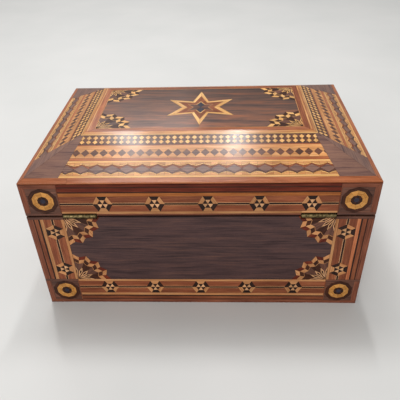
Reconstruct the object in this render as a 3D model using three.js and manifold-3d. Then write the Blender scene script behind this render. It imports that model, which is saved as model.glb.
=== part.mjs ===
// An inlaid wooden box with a hip-roofed lid on two brass butt hinges.
//
// Millimetres, +Z up.  X runs along the long sides, the hinged long side faces -Y, and the box stands
// on Z = 0.  Each of the four sides is built in a face frame: x along the side, z up, and -y outwards;
// the frame is then turned about Z.  Everything that swings with the lid sits in one group whose
// origin is on the hinge line.

import * as THREE from 'three';
import { mergeVertices } from 'three/addons/utils/BufferGeometryUtils.js';
import Module from 'manifold-3d';

const wasm = await Module();
wasm.setup();

// ---------------------------------------------------------------- driving dimensions

const LENGTH = 268;               // outside, along X
const WIDTH = 181;                // outside, along Y
const RIM_Z = 96;                 // top of the case walls
const LID_Z = 96.3;               // underside of the lid: a hair line above the rim
const EAVES_Z = 126.8;            // top edge of the lid's upright sides
const ROOF_RISE = 18.4;           // from the eaves to the flat top
const LONG_RUN = 46.9;            // how far the long slopes lean in
const END_RUN = 45;               // how far the end slopes lean in

const BOARD = 8;                  // carcass boards
const BASE_BOARD = 6;
const ROOF_BOARD = 6;
const VENEER = 1.2;               // the built-up inlaid skin
const GLUE = 0.1;                 // gap between glued pieces

const PILLAR = 29;                // width of the upright inlaid pillars and of the corner blocks
const FOOT_BAND = 28.5;           // height of the inlaid band round the foot

const HINGE_X = 91.5;             // middle of each hinge, from the middle of the box
const HINGE_LENGTH = 26;
const KNUCKLES = 5;
const KNUCKLE_GAP = 0.2;
const BARREL_RADIUS = 1.9;
const BORE_RADIUS = 1;
const PIN_RADIUS = 0.85;
const PIN_PROUD = 0.3;            // the pin's rounded ends stand out of the barrel by this much
const LEAF_THICKNESS = 0.9;
const LEAF_GAP = 0.2;             // between the two leaves of a closed hinge
const LEAF_REACH = 8.3;           // from the hinge line to the leaf's inner edge
const AXIS_INSET = 0.6;           // the hinge line lies this far inside the rear face
const AXIS_Z = (RIM_Z + LID_Z) / 2;
const STOP_CUT = 0.85;            // rear veneers stop this far from the hinge line, above and below:
                                  // their edges meet and stop the lid at about 109 degrees
const HINGE_CLEARANCE = 0.9;      // between the barrel and the wood that it is let into

const SCREW_X = 7.8;              // from the middle of the hinge
const SCREW_Y = 5.3;              // from the hinge line
const SCREW_HEAD_RADIUS = 1.7;
const SCREW_SHANK_RADIUS = 0.8;
const SCREW_HEAD_HEIGHT = 0.9;
const SCREW_LENGTH = 6.5;
const SCREW_POINT = 1;            // the shank tapers over its last stretch
const SCREW_SLOT = { width: 0.4, depth: 0.3 };
const SCREW_CLEARANCE = 0.12;

// ---------------------------------------------------------------- values worked out from them

const HALF_LENGTH = LENGTH / 2;
const HALF_WIDTH = WIDTH / 2;
const SKIN = VENEER + GLUE;
const TOP_Z = EAVES_Z + ROOF_RISE;
const BARREL_PROUD = BARREL_RADIUS - AXIS_INSET;
const AXIS_Y = -(HALF_WIDTH - AXIS_INSET);
const HINGE_NOTCH = BARREL_RADIUS + HINGE_CLEARANCE;

// turn brings the face frame's -y to the side's own outward direction; ends names the neighbouring
// sides at the low and the high end of the face frame's x
const LONG_SIDE = { half: HALF_LENGTH, depth: HALF_WIDTH, run: LONG_RUN, hip: END_RUN };
const END_SIDE = { half: HALF_WIDTH, depth: HALF_LENGTH, run: END_RUN, hip: LONG_RUN };
const SIDES = [
  { name: 'back', ends: ['left', 'right'], turn: 0, ...LONG_SIDE },
  { name: 'right', ends: ['back', 'front'], turn: Math.PI / 2, ...END_SIDE },
  { name: 'front', ends: ['right', 'left'], turn: Math.PI, ...LONG_SIDE },
  { name: 'left', ends: ['front', 'back'], turn: -Math.PI / 2, ...END_SIDE },
];

// the long sides' skins and boards run to the corner, the end sides' stand between them
const isEnd = (side) => side.depth === HALF_LENGTH;
const skinHalf = (side) => side.half - (isEnd(side) ? SKIN : 0);
const boardHalf = (side) => side.half - SKIN - (isEnd(side) ? BOARD + GLUE : 0);

// ---------------------------------------------------------------- materials

const wood = (color, roughness = 0.4) => new THREE.MeshStandardMaterial({ color, roughness, metalness: 0 });
const MATERIALS = {
  carcass: () => wood(0xa9794b, 0.65),
  rosewood: () => wood(0x4a3a34),
  pillar: () => wood(0x9a5a34),
  footBand: () => wood(0x94502f),
  lidBand: () => wood(0x96532f),
  corner: () => wood(0x6d4130),
  slope: () => wood(0xb98450),
  top: () => wood(0x6b5a52),
  brass: () => new THREE.MeshStandardMaterial({ color: 0x8a7a45, roughness: 0.45, metalness: 1 }),
  screw: () => new THREE.MeshStandardMaterial({ color: 0x9a8a50, roughness: 0.4, metalness: 1 }),
};

// ---------------------------------------------------------------- geometry helpers

/** A box between two corners. */
function boxBetween(low, high) {
  const size = high.map((value, axis) => value - low[axis]);
  const geometry = new THREE.BoxGeometry(...size);
  geometry.translate(...low.map((value, axis) => value + size[axis] / 2));
  return geometry;
}

/** An outline drawn in X and Y, raised from z0 to z1. */
function prismUp(points, z0, z1) {
  const shape = new THREE.Shape(points.map(([x, y]) => new THREE.Vector2(x, y)));
  const geometry = new THREE.ExtrudeGeometry(shape, { depth: z1 - z0, bevelEnabled: false });
  geometry.translate(0, 0, z0);
  return geometry;
}

/** A shape drawn in Y and Z, drawn out along X from x0 to x1. */
function extrudeAlongX(shape, x0, x1, curveSegments = 12) {
  const geometry = new THREE.ExtrudeGeometry(shape, { depth: x1 - x0, bevelEnabled: false, curveSegments });
  const [x, y, z] = [new THREE.Vector3(1, 0, 0), new THREE.Vector3(0, 1, 0), new THREE.Vector3(0, 0, 1)];
  geometry.applyMatrix4(new THREE.Matrix4().makeBasis(y, z, x));
  geometry.translate(x0, 0, 0);
  return geometry;
}

/** An outline in Y and Z, drawn out along X from x0 to x1. */
function prismAlongX(points, x0, x1) {
  return extrudeAlongX(new THREE.Shape(points.map(([y, z]) => new THREE.Vector2(y, z))), x0, x1);
}

/** A closed geometry as a solid that can be joined and cut. */
function toSolid(geometry) {
  const bare = geometry.clone();
  bare.deleteAttribute('normal');
  bare.deleteAttribute('uv');
  const merged = mergeVertices(bare, 1e-5);
  return new wasm.Manifold(new wasm.Mesh({
    numProp: 3,
    vertProperties: new Float32Array(merged.attributes.position.array),
    triVerts: new Uint32Array(merged.index.array),
  }));
}

/** A solid back as a geometry. */
function toGeometry(solid) {
  const { vertProperties, triVerts } = solid.getMesh();
  const geometry = new THREE.BufferGeometry();
  geometry.setAttribute('position', new THREE.BufferAttribute(vertProperties, 3));
  geometry.setIndex(new THREE.BufferAttribute(triVerts, 1));
  geometry.computeVertexNormals();
  return geometry;
}

/** One geometry with others cut out of it. */
function cut(geometry, cutters) {
  return toGeometry(cutters.reduce((solid, cutter) => solid.subtract(toSolid(cutter)), toSolid(geometry)));
}

/** Several geometries joined into one. */
function join(geometries) {
  return toGeometry(geometries.map(toSolid).reduce((solid, next) => solid.add(next)));
}

/** The space that two geometries share. */
function overlap(first, second) {
  return toGeometry(toSolid(first).intersect(toSolid(second)));
}

/** A named mesh in a parent group. */
function add(parent, name, geometry, material) {
  const mesh = new THREE.Mesh(geometry, material());
  mesh.name = name;
  parent.add(mesh);
  return mesh;
}

/** The face frame of one side, as a group in its parent. */
function faceFrame(parent, side) {
  const frame = new THREE.Group();
  frame.rotation.z = side.turn;
  parent.add(frame);
  return frame;
}

// ---------------------------------------------------------------- the let-in of the hinges

/** Boxes that let both hinges into the wood on one side of the hinge line: up is 1 for the lid. */
function hingeCutters(up) {
  const cutters = [];
  const rim = AXIS_Z + up * (LEAF_GAP / 2 + LEAF_THICKNESS + GLUE);
  const barrel = AXIS_Z + up * HINGE_NOTCH;
  const half = HINGE_LENGTH / 2 + PIN_PROUD + GLUE;
  for (const x of [-HINGE_X, HINGE_X]) {
    const leafZ = [rim, AXIS_Z - up * BARREL_RADIUS].sort((a, b) => a - b);
    const barrelZ = [barrel, AXIS_Z - up * BARREL_RADIUS].sort((a, b) => a - b);
    cutters.push(boxBetween(
      [x - half, -HALF_WIDTH - 1, leafZ[0]],
      [x + half, AXIS_Y + LEAF_REACH + GLUE + 1, leafZ[1]],
    ));
    cutters.push(boxBetween(
      [x - half, -HALF_WIDTH - 1, barrelZ[0]],
      [x + half, AXIS_Y + HINGE_NOTCH, barrelZ[1]],
    ));
    for (const side of [-1, 1]) {
      cutters.push(placeScrew(screwSolid(SCREW_CLEARANCE), x + side * SCREW_X, up));
    }
  }
  return cutters;
}

// ---------------------------------------------------------------- case

/** The base board and the four walls that stand on it. */
function buildCarcass(box) {
  const baseX = HALF_LENGTH - SKIN;
  const baseY = HALF_WIDTH - SKIN;
  add(box, 'case_base', boxBetween([-baseX, -baseY, 0], [baseX, baseY, BASE_BOARD]), MATERIALS.carcass);
  for (const side of SIDES) {
    const half = boardHalf(side);
    const outer = -(side.depth - SKIN);
    let board = boxBetween([-half, outer, BASE_BOARD + GLUE], [half, outer + BOARD, RIM_Z]);
    if (side.name === 'back') {
      board = cut(board, hingeCutters(-1));
    }
    add(faceFrame(box, side), `case_wall_${side.name}`, board, MATERIALS.carcass);
  }
}

/** The inlaid skin of the case: on each side a panel, two upright pillars and a band round the foot. */
function buildCaseSkin(box) {
  for (const side of SIDES) {
    const frame = faceFrame(box, side);
    const half = skinHalf(side);
    const inner = side.half - PILLAR;
    const top = side.name === 'back' ? AXIS_Z - STOP_CUT : RIM_Z;
    const slab = (x0, x1, z0, z1) => boxBetween([x0, -side.depth, z0], [x1, -side.depth + VENEER, z1]);

    let panel = slab(-inner + GLUE, inner - GLUE, FOOT_BAND + GLUE, top);
    if (side.name === 'back') {
      panel = cut(panel, hingeCutters(-1));
    }
    add(frame, `case_panel_${side.name}`, panel, MATERIALS.rosewood);
    const pillars = [slab(-half, -inner, FOOT_BAND + GLUE, top), slab(inner, half, FOOT_BAND + GLUE, top)];
    pillars.forEach((pillar, index) => {
      add(frame, `case_pillar_${side.name}_${side.ends[index]}`, pillar, MATERIALS.pillar);
    });
    add(frame, `case_foot_band_${side.name}`, slab(-half, half, 0, FOOT_BAND), MATERIALS.footBand);
  }
}

// ---------------------------------------------------------------- lid

/** Height of the roof over one side, at y in the face frame, less a thickness of board or veneer. */
function roofHeight(side, y, thickness) {
  const pitch = ROOF_RISE / side.run;
  return EAVES_Z + (y + side.depth) * pitch - thickness * Math.hypot(1, pitch);
}

/** The plan of one side of the roof, between its two hips, as a tall prism that mitres its boards. */
function mitrePrism(side) {
  const eaves = side.half - GLUE;
  const ridge = side.half - side.hip - GLUE;
  const plan = [
    [-eaves, -side.depth],
    [eaves, -side.depth],
    [ridge, -(side.depth - side.run)],
    [-ridge, -(side.depth - side.run)],
  ];
  return prismUp(plan, RIM_Z - 1, TOP_Z + 1);
}

/** One layer of the roof over one side, from the eaves to the flat top, mitred at the hips. */
function roofLayer(side, outerDepth, thickness, above) {
  const low = -(side.depth - outerDepth);
  const high = -(side.depth - side.run) - GLUE;
  const outline = [
    [low, roofHeight(side, low, above + thickness)],
    [high, roofHeight(side, high, above + thickness)],
    [high, roofHeight(side, high, above)],
    [low, roofHeight(side, low, above)],
  ];
  return overlap(prismAlongX(outline, -side.half, side.half), mitrePrism(side));
}

/** The lid's upright rails, mitred at the corners, with their tops bevelled to the roof boards. */
function buildRails(lid) {
  for (const side of SIDES) {
    const outer = -(side.depth - SKIN);
    const inner = outer + BOARD;
    const under = SKIN + ROOF_BOARD + GLUE;
    const outline = [
      [outer, LID_Z],
      [inner, LID_Z],
      [inner, roofHeight(side, inner, under)],
      [outer, roofHeight(side, outer, under)],
    ];
    const half = side.half - SKIN;
    let rail = overlap(prismAlongX(outline, -half, half), mitrePrism(side));
    if (side.name === 'back') {
      rail = cut(rail, hingeCutters(1));
    }
    add(faceFrame(lid, side), `lid_rail_${side.name}`, rail, MATERIALS.carcass);
  }
}

/** The four sloping boards and the flat board between them. */
function buildRoof(lid) {
  for (const side of SIDES) {
    add(faceFrame(lid, side), `lid_slope_${side.name}`, roofLayer(side, SKIN, ROOF_BOARD, SKIN),
      MATERIALS.carcass);
  }
  const x = HALF_LENGTH - END_RUN;
  const y = HALF_WIDTH - LONG_RUN;
  const top = TOP_Z - SKIN;
  add(lid, 'lid_top', boxBetween([-x, -y, top - ROOF_BOARD], [x, y, top]), MATERIALS.carcass);
}

/** The inlaid skin of the lid: upright bands, corner blocks, slopes and the flat top. */
function buildLidSkin(lid) {
  for (const side of SIDES) {
    const frame = faceFrame(lid, side);
    const inner = side.half - PILLAR - GLUE;
    const bottom = side.name === 'back' ? AXIS_Z + STOP_CUT : LID_Z;
    const top = roofHeight(side, -side.depth, SKIN);
    let band = boxBetween([-inner, -side.depth, bottom], [inner, -side.depth + VENEER, top]);
    if (side.name === 'back') {
      band = cut(band, hingeCutters(1));
    }
    add(frame, `lid_band_${side.name}`, band, MATERIALS.lidBand);
    add(frame, `lid_inlay_${side.name}`, roofLayer(side, 0, VENEER, 0), MATERIALS.slope);
  }
  const x = HALF_LENGTH - END_RUN;
  const y = HALF_WIDTH - LONG_RUN;
  add(lid, 'lid_inlay_top', boxBetween([-x, -y, TOP_Z - VENEER], [x, y, TOP_Z]), MATERIALS.top);
}

/** The veneered blocks that wrap the lid's corners, one to a corner. */
function buildLidCorners(lid) {
  const top = Math.min(...SIDES.map((side) => roofHeight(side, -side.depth, SKIN)));
  for (const [yName, ySign] of [['back', -1], ['front', 1]]) {
    for (const [xName, xSign] of [['left', -1], ['right', 1]]) {
      const outline = [
        [HALF_LENGTH, HALF_WIDTH],
        [HALF_LENGTH - PILLAR, HALF_WIDTH],
        [HALF_LENGTH - PILLAR, HALF_WIDTH - VENEER],
        [HALF_LENGTH - VENEER, HALF_WIDTH - VENEER],
        [HALF_LENGTH - VENEER, HALF_WIDTH - PILLAR],
        [HALF_LENGTH, HALF_WIDTH - PILLAR],
      ].map(([x, y]) => [xSign * x, ySign * y]);
      let block = prismUp(outline, LID_Z, top);
      if (yName === 'back') {
        block = cut(block, [boxBetween(
          [-LENGTH, -WIDTH, LID_Z - 1],
          [LENGTH, -HALF_WIDTH + VENEER, AXIS_Z + STOP_CUT],
        )]);
      }
      add(lid, `lid_corner_${yName}_${xName}`, block, MATERIALS.corner);
    }
  }
}

// ---------------------------------------------------------------- hinges

/** A countersunk screw pointing down, its head's face at z = 0, swollen all round by a clearance. */
function screwSolid(clearance = 0) {
  const head = SCREW_HEAD_RADIUS + clearance;
  const shank = SCREW_SHANK_RADIUS + clearance;
  const outline = [
    [0, -SCREW_LENGTH - clearance],
    [shank / 2, -SCREW_LENGTH - clearance],
    [shank, -SCREW_LENGTH + SCREW_POINT],
    [shank, -SCREW_HEAD_HEIGHT],
    [head, 0],
  ];
  if (clearance > 0) {
    outline.push([head, clearance]);
  }
  outline.push([0, clearance]);
  const geometry = new THREE.LatheGeometry(outline.map(([r, z]) => new THREE.Vector2(r, z)), 16);
  geometry.rotateX(Math.PI / 2);
  return geometry;
}

/** A screw brought to its place in a leaf: up is 1 for the lid's leaf, whose screws point up. */
function placeScrew(geometry, x, up) {
  if (up > 0) {
    geometry.rotateX(Math.PI);
  }
  geometry.translate(x, AXIS_Y + SCREW_Y, AXIS_Z + up * LEAF_GAP / 2);
  return geometry;
}

/** One leaf with its knuckles round the hinge line; the lid's leaf has the even-numbered ones. */
function leafSolid(x, up) {
  const ring = new THREE.Shape();
  ring.absarc(AXIS_Y, AXIS_Z, BARREL_RADIUS, 0, Math.PI * 2);
  const bore = new THREE.Path();
  bore.absarc(AXIS_Y, AXIS_Z, BORE_RADIUS, 0, Math.PI * 2, true);
  ring.holes.push(bore);

  const left = x - HINGE_LENGTH / 2;
  const step = HINGE_LENGTH / KNUCKLES;
  const z = [AXIS_Z + up * LEAF_GAP / 2, AXIS_Z + up * (LEAF_GAP / 2 + LEAF_THICKNESS)].sort((a, b) => a - b);
  const plate = (x0, x1, y0, y1) => boxBetween([x0, AXIS_Y + y0, z[0]], [x1, AXIS_Y + y1, z[1]]);

  const clear = BARREL_RADIUS + HINGE_CLEARANCE;
  const pieces = [plate(left, left + HINGE_LENGTH, clear, LEAF_REACH)];
  for (let index = up > 0 ? 1 : 0; index < KNUCKLES; index += 2) {
    const x0 = left + index * step + KNUCKLE_GAP / 2;
    const x1 = left + (index + 1) * step - KNUCKLE_GAP / 2;
    pieces.push(extrudeAlongX(ring, x0, x1, 14));
    pieces.push(plate(x0, x1, (BORE_RADIUS + BARREL_RADIUS) / 2, clear + GLUE));
  }
  const holes = [-1, 1].map((side) => placeScrew(screwSolid(SCREW_CLEARANCE), x + side * SCREW_X, up));
  return cut(join(pieces), holes);
}

/** One screw with its slot. */
function slottedScrew(x, up) {
  const slot = boxBetween(
    [-SCREW_HEAD_RADIUS * 2, -SCREW_SLOT.width / 2, -SCREW_SLOT.depth],
    [SCREW_HEAD_RADIUS * 2, SCREW_SLOT.width / 2, 1],
  );
  slot.rotateZ(0.6);
  return placeScrew(cut(screwSolid(), [slot]), x, up);
}

/** A hinge pin with rounded ends. */
function pinSolid(x) {
  const half = HINGE_LENGTH / 2;
  const profile = [
    [0, -half - PIN_PROUD],
    [PIN_RADIUS * 0.7, -half - PIN_PROUD * 0.7],
    [PIN_RADIUS, -half],
    [PIN_RADIUS, half],
    [PIN_RADIUS * 0.7, half + PIN_PROUD * 0.7],
    [0, half + PIN_PROUD],
  ];
  const geometry = new THREE.LatheGeometry(profile.map(([r, along]) => new THREE.Vector2(r, along)), 20);
  geometry.rotateZ(-Math.PI / 2);
  geometry.translate(x, AXIS_Y, AXIS_Z);
  return geometry;
}

/** Both butt hinges: a leaf in the case rim, a leaf in the lid, a pin and four screws each. */
function buildHinges(box, lid) {
  for (const [name, x] of [['left', -HINGE_X], ['right', HINGE_X]]) {
    add(box, `hinge_${name}_case_leaf`, leafSolid(x, -1), MATERIALS.brass);
    add(lid, `hinge_${name}_lid_leaf`, leafSolid(x, 1), MATERIALS.brass);
    add(box, `hinge_${name}_pin`, pinSolid(x), MATERIALS.brass);
    for (const [place, side] of [['left', -1], ['right', 1]]) {
      add(box, `hinge_${name}_case_screw_${place}`, slottedScrew(x + side * SCREW_X, -1), MATERIALS.screw);
      add(lid, `hinge_${name}_lid_screw_${place}`, slottedScrew(x + side * SCREW_X, 1), MATERIALS.screw);
    }
  }
}

// ---------------------------------------------------------------- assembly

// the barrels stand out of the rear face, so the whole is moved to centre its outline on the origin
const whole = new THREE.Group();
whole.position.y = BARREL_PROUD / 2;

const box = new THREE.Group();
whole.add(box);

// the lid group turns on the hinge line; its pieces are drawn in the closed box's own coordinates
const lidPivot = new THREE.Group();
lidPivot.position.set(0, AXIS_Y, AXIS_Z);
whole.add(lidPivot);
const lid = new THREE.Group();
lid.position.set(0, -AXIS_Y, -AXIS_Z);
lidPivot.add(lid);

buildCarcass(box);
buildCaseSkin(box);
buildRails(lid);
buildRoof(lid);
buildLidSkin(lid);
buildLidCorners(lid);
buildHinges(box, lid);

export default whole;
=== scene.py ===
"""Visual model of an inlaid wooden box with a hipped lid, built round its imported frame.

The box is veneered with small cut pieces of wood.  Each face's inlay is laid as separate prisms, drawn in
millimetres on a flat face (u along it, v up it) and then stood in its place in the scene, in metres.
"""
import logging
import math
import random
from dataclasses import dataclass, field
from enum import Enum
from typing import Any, Callable, Iterable, Sequence

import bmesh
import bpy
from mathutils import Matrix, Vector


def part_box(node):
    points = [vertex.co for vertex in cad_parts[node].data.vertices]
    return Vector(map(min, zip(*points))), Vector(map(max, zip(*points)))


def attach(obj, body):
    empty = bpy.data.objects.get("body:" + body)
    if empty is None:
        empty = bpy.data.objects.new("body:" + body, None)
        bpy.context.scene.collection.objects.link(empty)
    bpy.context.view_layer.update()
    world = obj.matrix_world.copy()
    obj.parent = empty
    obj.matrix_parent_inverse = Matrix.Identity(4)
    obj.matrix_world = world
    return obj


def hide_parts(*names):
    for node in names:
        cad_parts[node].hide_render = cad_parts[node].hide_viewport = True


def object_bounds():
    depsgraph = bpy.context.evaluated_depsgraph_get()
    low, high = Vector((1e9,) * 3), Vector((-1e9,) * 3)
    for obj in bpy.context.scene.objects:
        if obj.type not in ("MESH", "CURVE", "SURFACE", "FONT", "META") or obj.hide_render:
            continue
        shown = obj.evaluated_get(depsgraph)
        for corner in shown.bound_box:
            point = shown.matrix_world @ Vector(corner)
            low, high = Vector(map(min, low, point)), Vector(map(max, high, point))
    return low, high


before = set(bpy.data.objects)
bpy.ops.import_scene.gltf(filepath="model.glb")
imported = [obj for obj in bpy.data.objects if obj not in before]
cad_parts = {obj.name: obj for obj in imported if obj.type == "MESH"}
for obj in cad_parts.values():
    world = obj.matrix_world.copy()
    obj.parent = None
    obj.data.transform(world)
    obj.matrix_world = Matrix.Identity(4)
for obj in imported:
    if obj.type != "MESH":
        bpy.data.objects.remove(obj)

CAD_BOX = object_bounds()
LOG = logging.getLogger("inlaid_box")

Point = tuple[float, float]
Place = Callable[[float, float], Point]
Colour = tuple[float, float, float, float]
Socket = bpy.types.NodeSocket

MM = 0.001                        # metres in a millimetre
UP = Vector((0.0, 0.0, 1.0))

# sizes in millimetres
VENEER = 1.2                      # thickness of the inlaid skin
JOINT = 0.1                       # gap between neighbouring skins
CORNER = VENEER + JOINT           # what the long sides' skins take from each end of a short side
UPRIGHT = 29.0                    # width of a pillar and of a corner block
STAR_PITCH = 39.3                 # between the hexagon stars of a band
EASE = 0.05                       # the eased arris round every inlaid piece
WORN = 0.55                       # the rounding of the box's own edges
ON_LINE = 0.02                    # how near to a worn line an edge counts as on it
SLIVER = 0.05                     # square mm: a trim that leaves less than this leaves nothing


# ---------------------------------------------------------------- timbers and other finishes


def linear(code: str) -> Colour:
    """Turn an sRGB hex colour to linear RGBA.

    Args:
        code: six hex digits, such as "d9a066".

    Returns:
        The colour in scene-linear values with full alpha.
    """
    def channel(value: float) -> float:
        """One channel, from sRGB to linear."""
        return value / 12.92 if value <= 0.04045 else ((value + 0.055) / 1.055) ** 2.4

    red, green, blue = (channel(int(code[i:i + 2], 16) / 255) for i in (0, 2, 4))
    return red, green, blue, 1.0


def grey(value: float) -> Colour:
    """A neutral colour for a ramp stop."""
    return value, value, value, 1.0


class Shading:
    """A material on the bench: its node tree, and the steps that every finish is made from."""

    def __init__(self, name: str) -> None:
        """Start an empty material that will be called name."""
        self.material = bpy.data.materials.new(name)
        self.material.use_nodes = True
        self.tree = self.material.node_tree
        self.tree.nodes.clear()

    def add(self, kind: str, inputs: dict[Any, Any] | None = None, **settings: Any) -> bpy.types.Node:
        """Add a shader node, apply its settings and set or link its inputs.

        Args:
            kind: the node's class name without the "ShaderNode" prefix.
            inputs: input name or number to a value, or to an output socket to link from.
            **settings: attributes of the node itself.

        Returns:
            The new node.
        """
        node = self.tree.nodes.new("ShaderNode" + kind)
        for name, value in settings.items():
            setattr(node, name, value)
        for key, value in (inputs or {}).items():
            if isinstance(value, Socket):
                self.tree.links.new(value, node.inputs[key])
            else:
                node.inputs[key].default_value = value
        return node

    def object_place(self) -> Socket:
        """Coordinates in metres from the object's own origin."""
        return self.add("TexCoord").outputs["Object"]

    def noise(self, place: Socket, detail: float, scale: float = 1.0, roughness: float = 0.5,
              distortion: float = 0.0) -> bpy.types.Node:
        """Cloudy noise over some coordinates."""
        return self.add("TexNoise", {"Vector": place, "Scale": scale, "Detail": detail,
                                     "Roughness": roughness, "Distortion": distortion})

    def ramp(self, value: Socket, *stops: tuple[float, Colour]) -> Socket:
        """A colour that follows a value through some stops."""
        node = self.add("ValToRGB", {"Fac": value})
        for stop, (place, colour) in zip(node.color_ramp.elements, stops):
            stop.position = place
            stop.color = colour
        for place, colour in stops[2:]:
            node.color_ramp.elements.new(place).color = colour
        return node.outputs["Color"]

    def carry(self, value: Socket, source: tuple[float, float], target: tuple[float, float]) -> Socket:
        """Carry a value from one range over to another and hold it at the ends."""
        return self.add("MapRange", {"Value": value, "From Min": source[0], "From Max": source[1],
                                     "To Min": target[0], "To Max": target[1]}).outputs["Result"]

    def reckon(self, operation: str, *values: Socket | float) -> Socket:
        """One step of arithmetic on numbers."""
        return self.add("Math", dict(enumerate(values)), operation=operation).outputs["Value"]

    def reckon_vector(self, operation: str, *values: Socket | tuple[float, float, float]) -> bpy.types.Node:
        """One step of arithmetic on vectors."""
        return self.add("VectorMath", dict(enumerate(values)), operation=operation)

    def mix(self, share: Socket, first: Socket, second: Colour, blend: str = "MIX") -> Socket:
        """Mix a share of the second colour into the first."""
        return self.add("Mix", {0: share, 6: first, 7: second}, data_type="RGBA",
                        blend_type=blend).outputs[2]

    def bump(self, height: Socket, strength: float, depth: float, over: Socket | None = None,
             sunk: bool = False) -> Socket:
        """Relief in the surface.

        Args:
            height: what stands up, or goes down where sunk is set.
            strength: how much of the relief shows.
            depth: its full height, mm.
            over: another relief that this one is laid over.
            sunk: whether a high value lies low.

        Returns:
            The bent normal.
        """
        inputs = {"Height": height, "Strength": strength, "Distance": depth * MM}
        if over is not None:
            inputs["Normal"] = over
        return self.add("Bump", inputs, invert=sunk).outputs["Normal"]

    def finish(self, inputs: dict[str, Any]) -> bpy.types.Material:
        """Close the material with one shader that has these inputs."""
        shader = self.add("BsdfPrincipled", inputs)
        self.add("OutputMaterial", {"Surface": shader.outputs["BSDF"]})
        return self.material


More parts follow.
